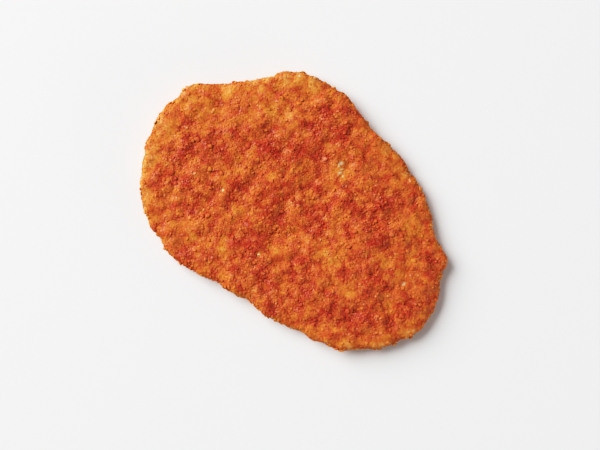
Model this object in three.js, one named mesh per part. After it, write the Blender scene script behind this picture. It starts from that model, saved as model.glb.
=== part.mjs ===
// A fried schnitzel: one flat, egg-shaped cutlet in a closed coat of coarse bread crumbs.
// Millimetres, +Z up. It lies on z = 0 with its long side along X and its narrow end at +X, and the
// origin is under the middle of its outline.
import * as THREE from "three";

// ---- driving dimensions, mm ----
const LENGTH = 180; // along X, over the crumbs
const WIDTH = 124; // along Y
const MIDDLE_THICKNESS = 11.6; // from the table to the top of the meat, at the middle
const RIM_THICKNESS = 8.4; // the same where the top starts to turn down
const EDGE_DEPTH = 7; // how far in from the outline the top starts to turn down
const FOOT_INSET = 13; // the base is flat on the table up to here, in from the outline
const LEAST_LIFT = 0.7; // of the underside of the edge above the table
const MOST_LIFT = 2.6;

// The outline, anticlockwise from +X: direction in degrees, distance from the middle in mm.
const RIM = [
  [0, 90.5],
  [9, 84.4],
  [15, 84.2],
  [21, 76.9],
  [34, 68.7],
  [42, 66.0],
  [50, 62.6],
  [65, 58.4],
  [80, 56.0],
  [91, 58.0],
  [104, 64.1],
  [118, 69.2],
  [130, 73.1],
  [138, 71.4],
  [149, 74.3],
  [158, 79.2],
  [167, 88.1],
  [174, 89.6],
  [184, 90.6],
  [200, 88.5],
  [215, 84.2],
  [230, 75.7],
  [245, 66.9],
  [257, 59.6],
  [270, 58.0],
  [279, 56.2],
  [286, 60.6],
  [296, 62.6],
  [306, 67.2],
  [319, 77.1],
  [332, 85.3],
  [342, 90.6],
  [349, 92.0],
];

// The rise and fall of the meat under the coat: mm from one hill to the next, mm up and down.
const SWELL = { across: 46, height: 1.3, seed: 11 };
const RIPPLE = { across: 17, height: 0.8, seed: 12 };
// The lumps in which the crumbs cling together, large and small, and the grit of single crumbs.
const CLUMP = { across: 7.2, height: 1.9, seed: 21 };
const CRAG = { across: 4.1, height: 1.5, seed: 22 };
const GRIT = { height: 0.28, seed: 23 };
// How the lift of the edge changes round the outline.
const LIFT_WAVE = { across: 55, seed: 31 };

// ---- how finely it is divided ----
const TOP_RINGS = 32; // rings of points from the middle of the top out to where it turns down
const EDGE_RINGS = 7; // round the edge
const SKIRT_RINGS = 2; // under the edge, in to the foot
const BASE_RINGS = 5; // over the flat base, in to its middle
const POINTS_PER_RING = 6; // more in each ring of the top than in the ring inside it
const RIM_POINTS = TOP_RINGS * POINTS_PER_RING;

const CRUST = new THREE.MeshStandardMaterial({
  color: new THREE.Color().setRGB(0.79, 0.37, 0.18, THREE.SRGBColorSpace),
  roughness: 0.62,
  metalness: 0,
});

// ---- noise ----
const smooth = (t) => t * t * (3 - 2 * t);
const mix = (a, b, t) => a + (b - a) * t;

// A number from 0 to 1 that belongs to one cell of a grid.
function cellValue(i, j, k, seed) {
  let h = Math.imul(i, 374761393) ^ Math.imul(j, 668265263) ^ Math.imul(k, 1440662683);
  h = Math.imul(h ^ (h >>> 13) ^ Math.imul(seed, 40503), 1274126177);
  h = Math.imul(h ^ (h >>> 15), 2246822519);
  return ((h ^ (h >>> 16)) >>> 0) / 4294967295;
}

// Smooth hills and dips from -1 to 1.
function hills(x, y, { across, seed }) {
  const u = x / across;
  const v = y / across;
  const i = Math.floor(u);
  const j = Math.floor(v);
  const s = smooth(u - i);
  const t = smooth(v - j);
  const near = mix(cellValue(i, j, 0, seed), cellValue(i + 1, j, 0, seed), s);
  const far = mix(cellValue(i, j + 1, 0, seed), cellValue(i + 1, j + 1, 0, seed), s);
  return 2 * mix(near, far, t) - 1;
}

// Rounded lumps that meet in creases, from about 0 to 1: one lump in each cell of a grid.
function lumps(point, { across, seed }) {
  const u = point.clone().divideScalar(across);
  const [i, j, k] = u.toArray().map(Math.floor);
  const middle = new THREE.Vector3();
  let highest = 0;
  for (let a = i - 1; a <= i + 1; a++)
    for (let b = j - 1; b <= j + 1; b++)
      for (let c = k - 1; c <= k + 1; c++) {
        middle.set(
          a + cellValue(a, b, c, seed),
          b + cellValue(a, b, c, seed + 100),
          c + cellValue(a, b, c, seed + 200),
        );
        const size = mix(0.5, 1, cellValue(a, b, c, seed + 300));
        highest = Math.max(highest, size - u.distanceToSquared(middle));
      }
  return highest;
}

// ---- the body without its crumbs ----
const outline = new THREE.CatmullRomCurve3(
  RIM.map(([degrees, reach]) => {
    const angle = THREE.MathUtils.degToRad(degrees);
    return new THREE.Vector3(reach * Math.cos(angle), reach * Math.sin(angle), 0);
  }),
  true,
  "centripetal",
);
outline.arcLengthDivisions = 2000;

// How far the underside of the edge stands off the table below one point of the outline.
function liftAt(rim) {
  return mix(LEAST_LIFT, MOST_LIFT, 0.5 + 0.5 * hills(rim.x, rim.y, LIFT_WAVE));
}

// The top, from the middle (0) out to where it turns down (1).
function topPoint(rim, out) {
  const p = rim.clone().setLength(out * (rim.length() - EDGE_DEPTH));
  const dome = mix(MIDDLE_THICKNESS, RIM_THICKNESS, out ** 2.4);
  const meat = SWELL.height * hills(p.x, p.y, SWELL) + RIPPLE.height * hills(p.x, p.y, RIPPLE);
  p.z = dome + meat + liftAt(rim) * out ** 3;
  return p;
}

// The rounded edge, from the top (0) round to the underside (1).
function edgePoint(rim, round) {
  const across = Math.sin(Math.PI * round);
  const up = Math.cos(Math.PI * round);
  const p = rim.clone().setLength(rim.length() - EDGE_DEPTH * (1 - across ** 0.75));
  const rise = 0.5 + 0.5 * Math.sign(up) * Math.abs(up) ** 0.85;
  p.z = mix(liftAt(rim), topPoint(rim, 1).z, rise);
  return p;
}

// The underside, from the end of the edge (0) in to the foot (1).
function skirtPoint(rim, inwards) {
  const p = rim.clone().setLength(rim.length() - mix(EDGE_DEPTH, FOOT_INSET, inwards));
  p.z = liftAt(rim) * (1 - smooth(inwards));
  return p;
}

// The flat base, from its middle (0) out to the foot (1).
function basePoint(rim, out) {
  return rim.clone().setLength(out * (rim.length() - FOOT_INSET));
}

// ---- the mesh: rings of points over the top, round the edge and under, each sewn to the next ----
const points = [];
const triangles = [];
const rings = [];

function addRing(count, place) {
  const ring = [];
  for (let i = 0; i < count; i++) {
    ring.push(points.length);
    points.push(place(outline.getPointAt(i / count)));
  }
  rings.push(ring);
}

function addTriangle(a, b, c) {
  if (a !== b && b !== c && c !== a) triangles.push(a, b, c);
}

// Sews two rings together, always stepping on along the one that is behind.
function sew(ring, next) {
  let i = 0;
  let j = 0;
  while (i < ring.length || j < next.length) {
    const a = ring[i % ring.length];
    const b = next[j % next.length];
    if (j < next.length && (j + 0.5) / next.length <= (i + 0.5) / ring.length) {
      addTriangle(a, b, next[++j % next.length]);
    } else {
      addTriangle(a, b, ring[++i % ring.length]);
    }
  }
}

for (let ring = 0; ring <= TOP_RINGS; ring++)
  addRing(Math.max(1, ring * POINTS_PER_RING), (rim) => topPoint(rim, ring / TOP_RINGS));
for (let ring = 1; ring < EDGE_RINGS; ring++)
  addRing(RIM_POINTS, (rim) => edgePoint(rim, ring / EDGE_RINGS));
for (let ring = 0; ring < SKIRT_RINGS; ring++)
  addRing(RIM_POINTS, (rim) => skirtPoint(rim, ring / SKIRT_RINGS));
for (let ring = BASE_RINGS; ring >= 0; ring--) {
  const out = ring / BASE_RINGS;
  addRing(Math.max(1, Math.round(RIM_POINTS * out)), (rim) => basePoint(rim, out));
}
rings.slice(1).forEach((next, i) => sew(rings[i], next));

const geometry = new THREE.BufferGeometry().setFromPoints(points);
geometry.setIndex(triangles);
geometry.computeVertexNormals();

// ---- the crumbs: lumps and grit that stand out along the surface's normal, off the table ----
function coat(body) {
  const place = body.getAttribute("position");
  const facing = body.getAttribute("normal");
  for (let i = 0; i < place.count; i++) {
    const p = new THREE.Vector3().fromBufferAttribute(place, i);
    if (p.z <= 0) continue;
    const clump = CLUMP.height * (lumps(p, CLUMP) - 0.6);
    const crag = CRAG.height * (lumps(p, CRAG) - 0.6);
    const grit = GRIT.height * mix(-1, 1, cellValue(i, 0, 0, GRIT.seed));
    p.addScaledVector(new THREE.Vector3().fromBufferAttribute(facing, i), clump + crag + grit);
    place.setXYZ(i, p.x, p.y, Math.max(0, p.z));
  }
}
coat(geometry);

// Brings the coated body to its full length and width, with its middle over the origin.
function fit(body) {
  body.computeBoundingBox();
  const size = body.boundingBox.getSize(new THREE.Vector3());
  const middle = body.boundingBox.getCenter(new THREE.Vector3());
  body.translate(-middle.x, -middle.y, 0);
  body.scale(LENGTH / size.x, WIDTH / size.y, 1);
  body.computeVertexNormals();
}
fit(geometry);

const schnitzel = new THREE.Mesh(geometry, CRUST);
schnitzel.name = "schnitzel";

const group = new THREE.Group();
group.add(schnitzel);

export default group;
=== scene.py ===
"""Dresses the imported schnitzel: a baked-on bed of crumbs over the solid's own form, the crumbs that
stand out of it as meshes at their true size, and a plain studio. Laid out as an add-on, run as a
script. Blender works in metres; sizes in millimetres have MM beside them, or a comment says so."""
import math
from typing import NamedTuple

import bmesh
import bpy
import numpy as np
from bpy.props import FloatProperty, FloatVectorProperty, IntProperty, PointerProperty
from mathutils import Matrix, Vector, noise


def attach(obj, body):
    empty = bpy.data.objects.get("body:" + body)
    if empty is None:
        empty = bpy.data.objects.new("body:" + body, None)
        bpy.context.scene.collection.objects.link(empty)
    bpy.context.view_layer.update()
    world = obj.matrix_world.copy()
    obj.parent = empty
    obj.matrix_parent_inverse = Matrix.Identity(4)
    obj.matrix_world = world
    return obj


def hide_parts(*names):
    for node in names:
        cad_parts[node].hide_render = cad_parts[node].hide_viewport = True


bl_info = {
    "name": "Breaded Schnitzel",
    "version": (1, 0, 0),
    "blender": (4, 5, 0),
    "location": "View3D > Sidebar > Schnitzel",
    "description": "Makes the crumb coat of a fried schnitzel and a plain studio round it",
    "category": "Object",
}

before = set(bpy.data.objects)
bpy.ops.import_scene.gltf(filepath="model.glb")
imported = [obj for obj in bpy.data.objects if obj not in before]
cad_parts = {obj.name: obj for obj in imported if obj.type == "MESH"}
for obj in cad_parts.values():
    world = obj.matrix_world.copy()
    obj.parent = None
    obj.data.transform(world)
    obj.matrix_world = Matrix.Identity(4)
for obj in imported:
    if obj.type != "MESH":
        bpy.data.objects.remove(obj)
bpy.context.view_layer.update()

MM = 0.001
NODE = "schnitzel"
BODY = "root"
BED = "crumb_bed"
CRUMB_GROUP = "Fried crumb"


class Trend(NamedTuple):
    """A number that follows the browning: value where the browning is start, and gain more for
    each unit of browning, between least and most."""

    value: float
    start: float
    gain: float
    least: float = -math.inf
    most: float = math.inf

    def at(self, browning):
        return np.clip(self.value + self.gain * (browning - self.start), self.least, self.most)


# ---------------------------------------------------------------------------------- settings
class CoatSizes(bpy.types.PropertyGroup):
    """Sizes of the bed of crumbs."""

    fineness: FloatProperty(
        name="Fineness", description="Edge of the bed's quads", default=0.68 * MM, unit="LENGTH"
    )
    inset: FloatProperty(
        name="Inset",
        description="How far the bed lies below the solid's surface",
        default=0.3 * MM,
        unit="LENGTH",
    )
    clump: FloatProperty(
        name="Clump", description="From one clump to the next", default=4.2 * MM, unit="LENGTH"
    )
    clump_height: FloatProperty(
        name="Clump height",
        description="How far the clumps rise",
        default=0.33 * MM,
        unit="LENGTH",
    )
    granule: FloatProperty(
        name="Granule", description="From one granule to the next", default=1.9 * MM, unit="LENGTH"
    )
    granule_height: FloatProperty(
        name="Granule height",
        description="How far the granules rise",
        default=0.3 * MM,
        unit="LENGTH",
    )


class CrumbSizes(bpy.types.PropertyGroup):
    """Sizes and numbers of the crumbs that stand out of the bed."""

    small: IntProperty(
        name="Small crumbs", description="How many there are on the top and edge", default=47000
    )
    small_length: FloatProperty(
        name="Small length", description="Their usual length", default=1.2 * MM, unit="LENGTH"
    )
    coarse: IntProperty(
        name="Coarse crumbs", description="How many there are on the top and edge", default=1500
    )
    coarse_length: FloatProperty(
        name="Coarse length", description="Their usual length", default=2.0 * MM, unit="LENGTH"
    )
    under: IntProperty(
        name="Under crumbs", description="How many there are on the underside", default=4800
    )
    under_length: FloatProperty(
        name="Under length", description="Their usual length", default=1.7 * MM, unit="LENGTH"
    )
    seed: IntProperty(name="Seed", description="Start of every random draw", default=7)


def colour(name, description, default):
    return FloatVectorProperty(
        name=name, description=description, default=default, subtype="COLOR", size=3, min=0, max=1
    )


class CrustColours(bpy.types.PropertyGroup):
    """The stages of browning, scene linear."""

    pale: colour("Pale", "Crumbs that stayed out of the fat", (0.94, 0.77, 0.47))
    raw: colour("Raw", "Crumbs that hardly fried", (0.78, 0.36, 0.1))
    golden: colour("Golden", "Lightly fried", (0.74, 0.255, 0.046))
    amber: colour("Amber", "Fried through", (0.69, 0.178, 0.048))
    russet: colour("Russet", "Well browned", (0.51, 0.087, 0.034))
    # the darkest creases reach this colour through painted shade
    burnt: colour("Burnt", "Darkest crumbs and creases", (0.35, 0.031, 0.01))
    # painted shade: this red is mixed in most in the hollows and at the crumbs' feet, where shade
    # falls; elsewhere it gives the coat's own redder tone
    deep_red_and_shade: colour("Deep red and shade", "Mixed in where the coat is warm", (0.465, 0.049, 0.022))


class StudioSettings(bpy.types.PropertyGroup):
    """The camera, light and floor."""

    turn: FloatProperty(
        name="Turn",
        description="How far the schnitzel's long side dips to the right in the picture",
        default=math.radians(35),
        unit="ROTATION",
    )
    picture_width: FloatProperty(
        name="Picture width",
        description="How much of the table the picture shows from side to side",
        default=318 * MM,
        unit="LENGTH",
    )
    lens: FloatProperty(name="Lens", description="Focal length", default=85, unit="CAMERA")
    key_strength: FloatProperty(
        name="Key", description="Strength of the key light, W/m2", default=2.37
    )
    key_angle: FloatProperty(
        name="Key size",
        description="How wide the key light looks from the schnitzel",
        default=math.radians(46),
        unit="ROTATION",
    )
    lamp_power: FloatProperty(
        name="Lamp", description="Power of the lamp on the key's side", default=26, unit="POWER"
    )
    fill_power: FloatProperty(
        name="Fill",
        description="Power of the low lamp across from the key",
        default=14,
        unit="POWER",
    )
    sky: FloatProperty(name="Sky", description="Light from all round", default=0.18)
    backdrop: FloatProperty(name="Backdrop", description="Brightness behind", default=0.85)
    floor: colour("Floor", "Colour of the floor", (0.92, 0.92, 0.92))


class SchnitzelSettings(bpy.types.PropertyGroup):
    """All that a user would change."""

    coat: PointerProperty(type=CoatSizes)
    crumbs: PointerProperty(type=CrumbSizes)
    colours: PointerProperty(type=CrustColours)
    studio: PointerProperty(type=StudioSettings)


# ---------------------------------------------------------------------------------- fields
# Browning runs from 0, raw, to 1, burnt, and warmth from 0, yellow, to 1, red; both also carry
# painted light on tops and tips and painted shade in hollows and at crumbs' feet. Sizes of noise are
# from one hill to the next, along each axis where there are three.
SEED_STEP = 17.31  # from one seed's place in the noise to the next one's
NOISE_GAIN = 1.6  # brings the noise to about -1 to 1

LUMP_REACH = 0.85  # from a lump's middle to the foot of its slope, in spacings
OWN_STEP = 9.7  # sets the own numbers of neighbouring lumps apart
LUMP_VARIETY = 0.8  # how much lumps differ in height
CREASE_DEPTH = 0.6  # of a lump's foot below the level of the bed, in lump heights

USUAL_BROWNING = 0.52
LEAST_BROWNING = 0.14  # outside the white spots
PATCH_BROWNING = 0.27  # in a browned patch; a golden one is lighter by as much
PATCH_FADE = 0.8  # how fast a patch fades outward
PATCH_FOOT = 1 * MM  # the height over the table where the patches set in
PATCH_BLEND = 3 * MM  # from there to where they are full
DRIFT = (16 * MM, 22 * MM, 22 * MM)
DRIFT_BROWNING = 0.07
STREAK = (3 * MM, 6 * MM, 6 * MM)
STREAK_BROWNING = 0.075
FLECK = (2 * MM, 3 * MM, 3 * MM)
FLECK_BROWNING = 0.07
PATCH_FLECKS = 0.04  # how much stronger the flecks are in a browned patch
RIM = 4.5 * MM  # how far the lighter rim reaches in
RIM_LIGHTENING = 0.25
SPOT_LIGHTENING = 1.1  # in a white spot
SPOT_COVER = 0.75  # how full a white spot is before the flecks break it up

USUAL_WARMTH = 0.28
WARMTH_DRIFT = 8 * MM
WARMTH_CHANGE = 0.15

# Patches that fried lighter or darker than the rest, seen from above: x, y and radius in mm.
GOLDEN_PATCHES = (
    (-49, 24, 5), (-42, 32, 5), (-33, 36, 5), (-67, 12, 4), (-42, -2, 4), (-23, 2, 4),
    (6, 29, 5), (19, 48, 4), (34, 44, 4), (4, -11, 5), (11, -14, 3), (2, -28, 6),
    (-23, -43, 4), (-40, -46, 4), (27, -13, 6), (52, 0, 3), (65, 0, 6), (68, -16, 5),
    (88, -10, 4), (86, -23, 6), (76, -36, 6), (64, -47, 5), (54, 25, 5), (-24, -20, 4),
    (7, 18, 4), (45, -23, 4), (-32, 57, 5), (-44, 52, 6), (-55, 40, 7), (-70, 27, 7),
    (-81, 12, 7), (-83, -7, 7), (-80, -24, 6), (-70, -40, 6),
)
BROWNED_PATCHES = (
    (-19, 38, 4), (-5, 43, 5), (-18, 47, 5), (-5, 57, 5), (-31, 16, 5), (-20, 21, 4),
    (-38, 22, 4), (-6, 27, 4), (2, 13, 4), (11, -1, 4), (-32, -10, 4), (-70, -35, 4),
    (-58, -25, 4), (-46, -36, 4), (-67, -11, 3), (-8, -34, 4), (2, -37, 4), (-35, -58, 4),
    (34, 25, 5), (29, 15, 5), (45, 9, 4), (47, -7, 4), (27, -35, 5), (44, -36, 5),
    (58, -35, 4), (65, -29, 4), (77, -24, 4), (76, -11, 5), (19, -53, 4), (73, 15, 4),
)
# Spots where the crumbs stayed nearly white, in the same way.
WHITE_SPOTS = (
    (4, 30, 1.2), (7.5, 25, 1.4), (6, 28, 0.6), (-39, -17, 0.8), (-4, -34, 0.8), (68, -3, 1.2),
)


def smooth_noise(points, spacing, seed):
    """Perlin noise, about -1 to 1. The spacing is one number, or one for each axis."""
    at = points / np.asarray(spacing) + seed * SEED_STEP
    return np.array([noise.noise(p) for p in at.tolist()]) * NOISE_GAIN


def lumps(points, spacing, seed):
    """Rounded lumps that meet in creases: how far each point is above the level of the bed, in
    lump heights, and its lump's own number, about -1 to 1."""
    at = points / spacing + seed * SEED_STEP
    away = np.empty(len(at))
    own = np.empty(len(at))
    for i, p in enumerate(at.tolist()):
        distances, middles = noise.voronoi(p)
        away[i] = distances[0]
        own[i] = noise.noise(middles[0] * OWN_STEP)
    return (1 - (away / LUMP_REACH) ** 2) * (1 + LUMP_VARIETY * own) - CREASE_DEPTH, own


def patch_cover(points, patches):
    """How deep each point lies in any of the patches: 1 in a middle, and less outward."""
    cover = np.zeros(len(points))
    for x, y, radius in patches:
        away = ((points[:, 0] - x * MM) ** 2 + (points[:, 1] - y * MM) ** 2) / (radius * MM) ** 2
        cover = np.maximum(cover, np.exp(-PATCH_FADE * away))
    return cover


def inset_at(points):
    """How far in from the outline each point of the whole bed lies, seen from above. The outline
    is as far out as the farthest point in each degree round the middle."""
    out = np.hypot(points[:, 0], points[:, 1])
    degree = np.degrees(np.arctan2(points[:, 1], points[:, 0])).astype(int)
    reach = np.zeros(360)
    np.maximum.at(reach, degree, out)
    return reach[degree] - out


def browning_at(points, seed):
    """How far the coat has browned there, before the painted shade of the hollows darkens it."""
    upper = np.clip((points[:, 2] - PATCH_FOOT) / PATCH_BLEND, 0, 1)
    patches = patch_cover(points, BROWNED_PATCHES) - patch_cover(points, GOLDEN_PATCHES)
    drift = smooth_noise(points, DRIFT, seed)
    streaks = smooth_noise(points, STREAK, seed + 1)
    flecks = smooth_noise(points, FLECK, seed + 5)
    change = (
        PATCH_BROWNING * patches * upper
        + DRIFT_BROWNING * drift
        + STREAK_BROWNING * streaks
        + (FLECK_BROWNING + PATCH_FLECKS * patches) * flecks
    )
    rim = np.exp(-inset_at(points) / RIM)
    fried = np.maximum(USUAL_BROWNING + change - RIM_LIGHTENING * rim, LEAST_BROWNING)
    spots = patch_cover(points, WHITE_SPOTS)
    return fried - SPOT_LIGHTENING * spots * np.clip(SPOT_COVER + flecks, 0, 1)


def warmth_at(points, seed):
    """How red the coat is there, before the painted shade of the hollows reddens it."""
    return USUAL_WARMTH + WARMTH_CHANGE * smooth_noise(points, WARMTH_DRIFT, seed + 2)


# ---------------------------------------------------------------------------------- materials
# Three kinds of noise, each with its spacing and its octaves.
MOTTLE = (0.9 * MM, 3)  # lighter and darker places within a crumb
PORES = (0.35 * MM, 2)
BLOTS = (3.5 * MM, 2)  # of oil
PORE_DEPTH = 0.15 * MM
NOISE_MIDDLE = 0.5  # of a noise texture, which runs from 0 to 1
# The browning where each colour is reached.
STAGES = {"pale": 0.0, "raw": 0.08, "golden": 0.27, "amber": 0.55, "russet": 0.8, "burnt": 1.0}
MOST_DEEP_RED = 0.75  # share of the deep red where the coat is warmest, as in the painted shade of hollows and feet
ROUGHNESS = ((0.3, 0.5), (0.7, 0.8))  # pairs of pore noise and roughness
OILINESS = ((0.45, 0.15), (0.62, 1.0))  # pairs of blot noise and how much oil there is
OIL_ROUGHNESS = 0.36
DRY_SHINE = 0.02  # of the crumb below the oil
MIX_SOCKETS = {"FLOAT": (2, 3, 0), "RGBA": (6, 7, 2)}  # a Mix node's A, B and Result


def add(tree, kind, inputs=None, **settings):
    """A new node. inputs maps its sockets to values or to other nodes' sockets."""
    made = tree.nodes.new(kind)
    for name, value in settings.items():
        setattr(made, name, value)
    for name, value in (inputs or {}).items():
        if isinstance(value, bpy.types.NodeSocket):
            tree.links.new(value, made.inputs[name])
        else:
            made.inputs[name].default_value = value
    return made


def ramp(tree, value, stops):
    """A colour ramp through stops of (position, colour or grey)."""
    made = add(tree, "ShaderNodeValToRGB", {"Fac": value})
    elements = made.color_ramp.elements
    while len(elements) < len(stops):
        elements.new(0.5)  # anywhere, as the places come next
    for element, (position, shade) in zip(elements, stops):
        element.position = position
        element.color = (shade, shade, shade, 1) if isinstance(shade, float) else (*shade, 1)
    return made.outputs["Color"]


def maths(tree, operation, a, b, clamp=False):
    return add(
        tree, "ShaderNodeMath", {0: a, 1: b}, operation=operation, use_clamp=clamp
    ).outputs[0]


def mixed(tree, kind, share, a, b):
    """a where the share is 0, and b where it is 1: two numbers or two colours."""
    first, second, result = MIX_SOCKETS[kind]
    made = add(tree, "ShaderNodeMix", {0: share, first: a, second: b}, data_type=kind)
    return made.outputs[result]


def attribute(tree, name):
    return add(tree, "ShaderNodeAttribute", attribute_name=name).outputs["Fac"]


def fried_crumb_group(colours):
    """The colour, roughness, oil and fine height of fried crumb, from its browning and how warm it
    is, which both carry painted light and shade beside the crust's own tone.
    """
    group = bpy.data.node_groups.new(CRUMB_GROUP, "ShaderNodeTree")
    sockets = group.interface
    for name in ("Browning", "Warmth", "Mottle"):
        sockets.new_socket(name=name, in_out="INPUT", socket_type="NodeSocketFloat")
    sockets.new_socket(name="Color", in_out="OUTPUT", socket_type="NodeSocketColor")
    for name in ("Roughness", "Oil", "Height"):
        sockets.new_socket(name=name, in_out="OUTPUT", socket_type="NodeSocketFloat")
    given = group.nodes.new("NodeGroupInput").outputs
    place = add(group, "ShaderNodeTexCoord").outputs["Object"]
    mottle, pores, blots = (
        add(
            group, "ShaderNodeTexNoise", {"Vector": place, "Scale": 1 / spacing, "Detail": octaves}
        ).outputs["Fac"]
        for spacing, octaves in (MOTTLE, PORES, BLOTS)
    )
    uneven = maths(group, "SUBTRACT", mottle, NOISE_MIDDLE)
    change = maths(group, "MULTIPLY", uneven, given["Mottle"])
    browned = maths(group, "ADD", given["Browning"], change, clamp=True)
    fried = ramp(group, browned, [(at, getattr(colours, name)) for name, at in STAGES.items()])
    reddening = maths(group, "MULTIPLY", given["Warmth"], MOST_DEEP_RED)
    out = group.nodes.new("NodeGroupOutput").inputs
    for name, value in (
        ("Color", mixed(group, "RGBA", reddening, fried, (*colours.deep_red_and_shade, 1))),
        ("Roughness", ramp(group, pores, ROUGHNESS)),
        ("Oil", ramp(group, blots, OILINESS)),
        ("Height", maths(group, "ADD", pores, mottle)),
    ):
        group.links.new(value, out[name])


def fried_material(name, mottle, bump, oil):
    """A material of fried crumb that reads the mesh's browning and how warm it is, with their painted
    light and shade.
    """
    material = bpy.data.materials.new(name)
    material.use_nodes = True
    tree = material.node_tree
    shader = tree.nodes["Principled BSDF"].inputs
    crumb = add(
        tree,
        "ShaderNodeGroup",
        {
            "Browning": attribute(tree, "browning"),
            "Warmth": attribute(tree, "warmth"),
            "Mottle": mottle,
        },
        node_tree=bpy.data.node_groups[CRUMB_GROUP],
    ).outputs
    raised = add(
        tree,
        "ShaderNodeBump",
        {"Height": crumb["Height"], "Strength": bump, "Distance": PORE_DEPTH},
    )
    tree.links.new(crumb["Color"], shader["Base Color"])
    tree.links.new(crumb["Roughness"], shader["Roughness"])
    tree.links.new(maths(tree, "MULTIPLY", crumb["Oil"], oil), shader["Coat Weight"])
    tree.links.new(raised.outputs["Normal"], shader["Normal"])
    shader["Coat Roughness"].default_value = OIL_ROUGHNESS
    shader["Specular IOR Level"].default_value = DRY_SHINE
    return material


# ---------------------------------------------------------------------------------- meshes
def coordinates(mesh):
    at = np.empty(len(mesh.vertices) * 3)
    mesh.vertices.foreach_get("co", at)
    return at.reshape(-1, 3)


def normals(mesh):
    out = np.empty(len(mesh.vertices) * 3)
    mesh.vertices.foreach_get("normal", out)
    return out.reshape(-1, 3)


def set_coordinates(mesh, at):
    mesh.vertices.foreach_set("co", at.ravel())
    mesh.update()


def write_numbers(mesh, name, values):
    """Stores a number from 0 to 1 with each corner."""
    made = mesh.attributes.new(name, "FLOAT", "POINT")
    made.data.foreach_set("value", np.asarray(np.clip(values, 0, 1), np.float32).ravel())


def read_numbers(mesh, name):
    values = np.empty(len(mesh.vertices), np.float32)
    mesh.attributes[name].data.foreach_get("value", values)
    return values


def new_object(name, data):
    made = bpy.data.objects.new(name, data)
    bpy.context.scene.collection.objects.link(made)
    return made


def finish_piece(piece, material):
    """Gives the piece its material, and ties it to the frame."""
    piece.data.materials.clear()
    piece.data.materials.append(material)
    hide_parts(NODE)
    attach(piece, BODY)


# ---------------------------------------------------------------------------------- bed
WELD = 0.01 * MM  # corners of the solid that lie closer together become one
EASE_SHARE = 0.5  # how far each step of smoothing takes a corner to its neighbours' middle
EASE_STEPS = 14
CRAGS = Trend(value=0.5, start=0.25, gain=1.2, least=0.5, most=1.3)  # strength of the relief
HOLLOW_LEVEL = 0.05  # the relief below this is a hollow, in clump heights
GRANULE_SHARE = 0.4  # how much a granule counts in that beside a clump
HOLLOW_RANGE = (-0.25, 0.8)  # of the tops, which get painted light, and of the deepest hollows, which get painted shade
# painted shade in the relief's hollows, darker and redder, and painted light on its tops, lighter
PAINTED_HOLLOW_SHADE = 0.3
PAINTED_HOLLOW_RED = 1.3
GRANULE_BROWNING = 0.05  # how much the granules differ


def remeshed_solid(fineness):
    """A new object with the solid's form in even quads, its facets smoothed."""
    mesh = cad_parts[NODE].data.copy()
    body = bmesh.new()
    body.from_mesh(mesh)
    bmesh.ops.remove_doubles(body, verts=body.verts, dist=WELD)
    body.to_mesh(mesh)
    body.free()
    rough = new_object("rough", mesh)
    remesh = rough.modifiers.new("remesh", "REMESH")
    remesh.mode = "VOXEL"
    remesh.voxel_size = fineness
    ease = rough.modifiers.new("ease", "SMOOTH")
    ease.factor = EASE_SHARE
    ease.iterations = EASE_STEPS
    depsgraph = bpy.context.evaluated_depsgraph_get()
    made = bpy.data.meshes.new_from_object(rough.evaluated_get(depsgraph))
    bpy.data.objects.remove(rough)
    return new_object(BED, made)


class SCHNITZEL_OT_bed(bpy.types.Operator):
    """Make the bed of crumbs that is baked on to the meat"""

    bl_idname = "schnitzel.bed"
    bl_label = "Crumb bed"

    def execute(self, context):
        settings = context.scene.schnitzel
        coat = settings.coat
        seed = settings.crumbs.seed
        fried_crumb_group(settings.colours)
        piece = remeshed_solid(coat.fineness)
        mesh = piece.data
        at = coordinates(mesh)
        clump, _ = lumps(at, coat.clump, seed)
        granule, granule_own = lumps(at, coat.granule, seed + 3)
        browned = browning_at(at, seed)
        crags = CRAGS.at(browned)
        rise = crags * (coat.clump_height * clump + coat.granule_height * granule) - coat.inset
        at = at + normals(mesh) * rise[:, None]
        at[:, 2] = np.maximum(at[:, 2], 0)
        set_coordinates(mesh, at)
        # Painted light and shade from the relief: its tops lighter, and its hollows darker and
        # redder, as light falls on it.
        relief_shade = crags * np.clip(HOLLOW_LEVEL - clump - GRANULE_SHARE * granule, *HOLLOW_RANGE)
        browning = browned + PAINTED_HOLLOW_SHADE * relief_shade + GRANULE_BROWNING * granule_own
        write_numbers(mesh, "browning", browning)
        write_numbers(mesh, "warmth", warmth_at(at, seed) + PAINTED_HOLLOW_RED * relief_shade)
        mesh.shade_smooth()
        finish_piece(piece, fried_material("fried_bed", mottle=0.28, bump=0.6, oil=0.15))
        return {"FINISHED"}


# ---------------------------------------------------------------------------------- crumbs
# Sizes and heights of a crumb are in its lengths, and spreads are standard deviations.
UNDERSIDE = -0.35  # the underside is where the bed faces down more than this
CROWDING = Trend(value=0.9, start=0.3, gain=0.4, least=0.8, most=1.1)  # of crumbs on an area

CHIP_SIDES = 6
CHIP_TOP = (0.15, 0.1, 1)  # in radii, a little off the middle
CHIP_BOTTOM = (0, 0, -1)
COARSE_BALL = 2  # subdivisions of the balls
UNDER_BALL = 1

SMALL_SHADES = 0.06  # spread of the small crumbs' browning
COARSE_SHADES = 0.08
WARMTH_SPREAD = 0.05
SMALL_LENGTHS = 0.22  # spread of the lengths, as a share of them
COARSE_LENGTHS = 0.2
GROWTH = Trend(value=0, start=0.5, gain=0.3)  # browned crumbs are longer, by e to this power

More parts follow.
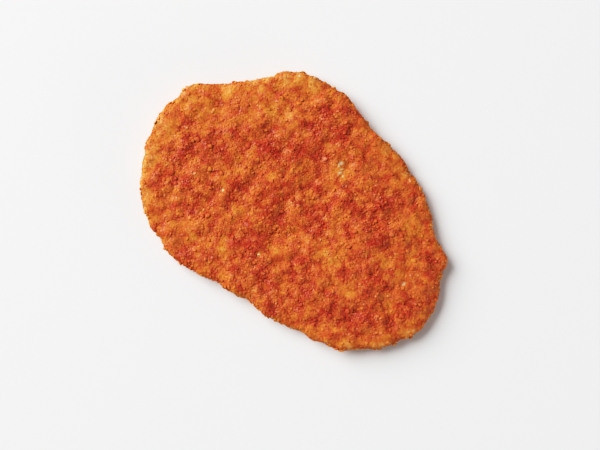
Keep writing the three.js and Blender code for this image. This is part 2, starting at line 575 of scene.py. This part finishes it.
KNOCK = (0.68, 1.18)  # how far out a corner is knocked, in radii
WIDTH = (0.6, 0.95)
THICKNESS = (0.14, 0.31)
SWELLING = Trend(value=0.35, start=0, gain=1, least=0.6, most=1.25)  # factor on the thickness
EDGE_SWELLING = 2.2  # how much thicker still crumbs are on the steep edge
MOST_LEAN = 0.5  # radians; hardly any crumb leans over further
LEAN = 0.4 * math.tan(MOST_LEAN)  # spread of the slopes
LIFT = (-0.15, 0.12)  # of a crumb's middle over the bed
BROWNED_LIFT = Trend(value=0, start=0.4, gain=0.25)  # added where the bed has browned
EDGE_LIFT = 0.22  # how much further crumbs stand out of the steep edge
PAINTED_TIP_LIGHT = Trend(value=0.1925, start=0, gain=0.825)  # painted light on the crumbs' tips, stronger where the bed has browned, for each length upward
TIP_LEVEL = 0.25  # where a crumb is as brown as its place in the bed
PAINTED_FOOT_SHADE = 1.5  # painted shade, redder, at the crumbs' feet, for each length downward
FOOT_LEVEL = 0.2  # where a crumb is as warm as its place in the bed


class Places(NamedTuple):
    """Where crumbs go: points on the bed, the way it faces there, and its shade there."""

    at: np.ndarray
    facing: np.ndarray
    browning: np.ndarray
    warmth: np.ndarray

    def only(self, chosen):
        return Places(*(values[chosen] for values in self))


class Shape(NamedTuple):
    """A crumb of unit radius, before it is knocked and squeezed. The edges between its first
    corners, as many as rim says, are crisp."""

    corners: np.ndarray
    faces: np.ndarray
    rim: int


def ball(subdivisions):
    """A rounded grain without a crisp rim."""
    body = bmesh.new()
    bmesh.ops.create_icosphere(body, subdivisions=subdivisions, radius=1)
    corners = np.array([v.co[:] for v in body.verts])
    faces = np.array([[v.index for v in f.verts] for f in body.faces])
    body.free()
    return Shape(corners, faces, rim=0)


def chip():
    """A chip with a crisp rim, which rises to a point on its top and its bottom."""
    round_it = np.arange(CHIP_SIDES) * 2 * math.pi / CHIP_SIDES
    rim = np.stack((np.cos(round_it), np.sin(round_it), np.zeros(CHIP_SIDES)), axis=1)
    corners = np.concatenate((rim, (CHIP_TOP, CHIP_BOTTOM)))
    sides = [(i, (i + 1) % CHIP_SIDES) for i in range(CHIP_SIDES)]
    top = [(i, j, CHIP_SIDES) for i, j in sides]
    bottom = [(j, i, CHIP_SIDES + 1) for i, j in sides]
    return Shape(corners, np.array(top + bottom), rim=CHIP_SIDES)


def on_top(facing):
    return facing[:, 2] > UNDERSIDE


def underneath(facing):
    return facing[:, 2] <= UNDERSIDE


def scattered(mesh, count, wanted, draw):
    """Random places on the faces that wanted picks by the way they face, spread evenly but a
    little closer where the bed has browned."""
    mesh.calc_loop_triangles()
    corners = np.empty(len(mesh.loop_triangles) * 3, np.int32)
    mesh.loop_triangles.foreach_get("vertices", corners)
    corners = corners.reshape(-1, 3)
    at = coordinates(mesh)
    facing = normals(mesh)
    browning = read_numbers(mesh, "browning")
    corners = corners[wanted(facing[corners].mean(axis=1))]
    a, b, c = (at[corners[:, i]] for i in range(3))
    crowding = CROWDING.at(browning[corners].mean(axis=1))
    room = np.cumsum(np.linalg.norm(np.cross(b - a, c - a), axis=1) * crowding)
    steps = (np.arange(count) + draw.random(count)) / count
    face = np.searchsorted(room, steps * room[-1])
    s = np.sqrt(draw.random(count))[:, None]
    t = draw.random(count)[:, None]
    shares = (1 - s, s * (1 - t), s * t)

    def blended(values):
        return sum(share * values[corners[face, i]] for i, share in enumerate(shares))

    ways = blended(facing)
    return Places(
        at=blended(at),
        facing=ways / np.linalg.norm(ways, axis=1)[:, None],
        browning=blended(browning[:, None])[:, 0],
        warmth=blended(read_numbers(mesh, "warmth")[:, None])[:, 0],
    )


def shaded(places, spread, draw):
    """The same places, each crumb a little lighter or darker than the bed that it sits in."""
    count = len(places.at)
    return places._replace(
        browning=np.clip(places.browning + draw.normal(0, spread, count), 0, 1),
        warmth=np.clip(places.warmth + draw.normal(0, WARMTH_SPREAD, count), 0, 1),
    )


def varied(usual, spread, count, draw):
    """Lengths that differ from the usual one, some shorter and some longer."""
    return usual * np.exp(draw.normal(0, spread, count))


def leaning(facing, draw):
    """A random frame for each crumb, whose third axis leans a little from the way the bed faces."""
    lean = facing + LEAN * draw.normal(size=facing.shape)
    up = lean / np.linalg.norm(lean, axis=1)[:, None]
    side = np.cross(up, draw.normal(size=up.shape))
    side /= np.linalg.norm(side, axis=1)[:, None]
    return np.stack((side, np.cross(up, side), up), axis=2)


def mesh_of_copies(name, shape, at):
    """One mesh of many copies of the shape, smooth but for their crisp rims. at holds the corners
    of each copy."""
    count, size = at.shape[:2]
    mesh = bpy.data.meshes.new(name)
    mesh.vertices.add(count * size)
    mesh.vertices.foreach_set("co", at.ravel())
    indices = (shape.faces[None] + (np.arange(count) * size)[:, None, None]).reshape(-1)
    mesh.loops.add(len(indices))
    mesh.loops.foreach_set("vertex_index", indices)
    mesh.polygons.add(len(indices) // 3)
    mesh.polygons.foreach_set("loop_start", np.arange(0, len(indices), 3))
    mesh.update(calc_edges=True)
    mesh.shade_smooth()
    ends = np.empty(len(mesh.edges) * 2, np.int32)
    mesh.edges.foreach_get("vertices", ends)
    crisp = (ends.reshape(-1, 2) % size < shape.rim).all(axis=1)
    mesh.attributes.new("sharp_edge", "BOOLEAN", "EDGE").data.foreach_set("value", crisp)
    return mesh


def crumb_piece(name, places, length, shape, draw):
    """Many crumbs: the shape knocked out of true, squeezed flat and half sunk in the bed. Their
    tips get painted light, lighter than the bed, and their feet painted shade, redder."""
    count = len(places.at)
    knocked = shape.corners * draw.uniform(*KNOCK, (count, len(shape.corners)))[..., None]
    steep = 1 - places.facing[:, 2] ** 2
    width = draw.uniform(*WIDTH, count)
    swelling = SWELLING.at(places.browning) * (1 + EDGE_SWELLING * steep)
    thickness = draw.uniform(*THICKNESS, count) * swelling
    squeeze = np.stack((np.ones(count), width, thickness), axis=1)
    crumbs = knocked * (squeeze * length[:, None] / 2)[:, None, :]
    frames = leaning(places.facing, draw)
    lift = draw.uniform(*LIFT, count) + BROWNED_LIFT.at(places.browning) + EDGE_LIFT * steep
    lifted = places.facing * (lift * length)[:, None]
    at = np.einsum("nij,nvj->nvi", frames, crumbs) + lifted[:, None, :]
    standing = np.einsum("nvi,ni->nv", at, places.facing) / length[:, None]
    at += places.at[:, None, :]
    at[..., 2] = np.maximum(at[..., 2], 0)

    mesh = mesh_of_copies(name, shape, at)
    # Painted light on each crumb's tip and painted shade at its foot, by how high each corner stands.
    lighter = PAINTED_TIP_LIGHT.at(places.browning)[:, None] * (standing - TIP_LEVEL)
    redder = PAINTED_FOOT_SHADE * (FOOT_LEVEL - standing)
    write_numbers(mesh, "browning", places.browning[:, None] - lighter)
    write_numbers(mesh, "warmth", places.warmth[:, None] + redder)
    return new_object(name, mesh)


class SCHNITZEL_OT_crumbs(bpy.types.Operator):
    """Scatter the crumbs that stand out of the bed, one piece for each kind"""

    bl_idname = "schnitzel.crumbs"
    bl_label = "Crumbs"

    def execute(self, context):
        sizes = context.scene.schnitzel.crumbs
        bed = bpy.data.objects.get(BED)
        if bed is None:
            raise RuntimeError("make the crumb bed first")
        draw = np.random.default_rng(sizes.seed)

        places = shaded(scattered(bed.data, sizes.small, on_top, draw), SMALL_SHADES, draw)
        usual = sizes.small_length * np.exp(GROWTH.at(places.browning))
        length = varied(usual, SMALL_LENGTHS, sizes.small, draw)
        low, high = np.quantile(places.browning, (1 / 3, 2 / 3))
        for name, chosen in (
            ("golden_crumbs", places.browning < low),
            ("amber_crumbs", (places.browning >= low) & (places.browning < high)),
            ("browned_crumbs", places.browning >= high),
        ):
            piece = crumb_piece(name, places.only(chosen), length[chosen], chip(), draw)
            finish_piece(piece, fried_material(name, mottle=0.16, bump=0.5, oil=0.6))

        for name, count, usual, where, subdivisions in (
            ("coarse_crumbs", sizes.coarse, sizes.coarse_length, on_top, COARSE_BALL),
            ("under_crumbs", sizes.under, sizes.under_length, underneath, UNDER_BALL),
        ):
            places = shaded(scattered(bed.data, count, where, draw), COARSE_SHADES, draw)
            length = varied(usual, COARSE_LENGTHS, count, draw)
            piece = crumb_piece(name, places, length, ball(subdivisions), draw)
            finish_piece(piece, fried_material(name, mottle=0.32, bump=0.6, oil=0.4))
        return {"FINISHED"}


# ---------------------------------------------------------------------------------- studio
# Places are in metres: to the right and up in the picture, and over the table.
TABLE_GAP = 0.05 * MM  # between the lowest crumbs and the floor
FLOOR_SIZE = 8
FLOOR_ROUGHNESS = 0.6
AIM = (-0.95 * MM, -10.1 * MM, 6 * MM)  # so that the schnitzel sits a little above the middle
FILM_WIDTH = 36  # of the camera, mm
KEY_PLACE = (-1.3692, 0.88835, 1.16)
LAMP_SIZE = (1.7, 1.7)
FILL_PLACE = (1.66656, -1.08128, 0.25)
FILL_SIZE = (1.8, 0.5)
# The film's response, light in the scene to light in the picture: steepest in the middle tones.
TONE = (
    (0.05, 0.037), (0.1, 0.094), (0.2, 0.232), (0.35, 0.442), (0.5, 0.62), (0.7, 0.785),
    (1, 0.955),
)


def picture_axes(turn):
    """The picture's right and up in the schnitzel's own frame, seen from straight above."""
    right = Vector((math.cos(turn), math.sin(turn), 0))
    return right, Vector((-right.y, right.x, 0))


def in_picture(place, turn):
    """A place of the studio in the schnitzel's own frame."""
    right, up = picture_axes(turn)
    return place[0] * right + place[1] * up + Vector((0, 0, place[2]))


def make_floor(shade):
    bpy.ops.mesh.primitive_plane_add(size=FLOOR_SIZE, location=(0, 0, -TABLE_GAP))
    floor = bpy.context.object
    floor.name = "floor"
    material = bpy.data.materials.new("floor")
    material.use_nodes = True
    shader = material.node_tree.nodes["Principled BSDF"]
    shader.inputs["Base Color"].default_value = (*shade, 1)
    shader.inputs["Roughness"].default_value = FLOOR_ROUGHNESS
    floor.data.materials.append(material)


def make_camera(turn, lens, picture_width):
    """A camera that looks straight down."""
    data = bpy.data.cameras.new("camera")
    data.lens = lens
    data.sensor_width = FILM_WIDTH
    camera = new_object("camera", data)
    distance = picture_width * data.lens / data.sensor_width
    place = in_picture(AIM, turn) + Vector((0, 0, distance))
    axes = Matrix((*picture_axes(turn), Vector((0, 0, 1)))).transposed().to_4x4()
    camera.matrix_world = Matrix.Translation(place) @ axes
    bpy.context.scene.camera = camera


def light(name, kind, place, power):
    """A light that faces the foot of the schnitzel's middle."""
    data = bpy.data.lights.new(name, kind)
    data.energy = power
    made = new_object(name, data)
    made.location = place
    made.rotation_euler = (-place).to_track_quat("-Z", "Y").to_euler()
    return data


def area_light(name, place, size, power):
    data = light(name, "AREA", place, power)
    data.shape = "RECTANGLE"
    data.size, data.size_y = size


def make_world(sky, backdrop):
    """White light from all round, and what the camera sees behind the floor."""
    world = bpy.data.worlds.new("studio")
    world.use_nodes = True
    tree = world.node_tree
    background = tree.nodes["Background"].inputs
    background["Color"].default_value = (1, 1, 1, 1)
    seen = add(tree, "ShaderNodeLightPath").outputs["Is Camera Ray"]
    tree.links.new(mixed(tree, "FLOAT", seen, sky, backdrop), background["Strength"])
    bpy.context.scene.world = world


def set_tone(view):
    view.view_transform = "Standard"
    view.use_curve_mapping = True
    mapping = view.curve_mapping
    curve = mapping.curves[3]  # the one for all three colours
    for given, shown in TONE[:-1]:
        curve.points.new(given, shown)
    curve.points[-1].location = TONE[-1]
    mapping.update()


class SCHNITZEL_OT_studio(bpy.types.Operator):
    """Make the floor, the light and the camera"""

    bl_idname = "schnitzel.studio"
    bl_label = "Studio"

    def execute(self, context):
        studio = context.scene.schnitzel.studio
        make_floor(studio.floor)
        make_camera(studio.turn, studio.lens, studio.picture_width)
        key = in_picture(KEY_PLACE, studio.turn)
        fill = in_picture(FILL_PLACE, studio.turn)
        light("key", "SUN", key, studio.key_strength).angle = studio.key_angle
        area_light("lamp", key, LAMP_SIZE, studio.lamp_power)
        area_light("fill", fill, FILL_SIZE, studio.fill_power)
        make_world(studio.sky, studio.backdrop)
        set_tone(context.scene.view_settings)
        return {"FINISHED"}


# ---------------------------------------------------------------------------------- add-on
class SCHNITZEL_PT_panel(bpy.types.Panel):
    """The settings of each step, over the button that runs it"""

    bl_idname = "SCHNITZEL_PT_panel"
    bl_label = "Schnitzel"
    bl_space_type = "VIEW_3D"
    bl_region_type = "UI"
    bl_category = "Schnitzel"

    def draw(self, context):
        settings = context.scene.schnitzel
        for title, group, operator in (
            ("Bed", settings.coat, SCHNITZEL_OT_bed),
            ("Crumbs", settings.crumbs, SCHNITZEL_OT_crumbs),
            ("Colours", settings.colours, None),
            ("Studio", settings.studio, SCHNITZEL_OT_studio),
        ):
            box = self.layout.box()
            box.label(text=title)
            for name in group.bl_rna.properties.keys():
                if name not in ("rna_type", "name"):
                    box.prop(group, name)
            if operator:
                box.operator(operator.bl_idname)


CLASSES = (
    CoatSizes,
    CrumbSizes,
    CrustColours,
    StudioSettings,
    SchnitzelSettings,
    SCHNITZEL_OT_bed,
    SCHNITZEL_OT_crumbs,
    SCHNITZEL_OT_studio,
    SCHNITZEL_PT_panel,
)


def register():
    for each in CLASSES:
        bpy.utils.register_class(each)
    bpy.types.Scene.schnitzel = PointerProperty(type=SchnitzelSettings)


def unregister():
    del bpy.types.Scene.schnitzel
    for each in reversed(CLASSES):
        bpy.utils.unregister_class(each)


def main():
    register()
    bpy.ops.schnitzel.bed()
    bpy.ops.schnitzel.crumbs()
    bpy.ops.schnitzel.studio()


if __name__ == "__main__":
    main()
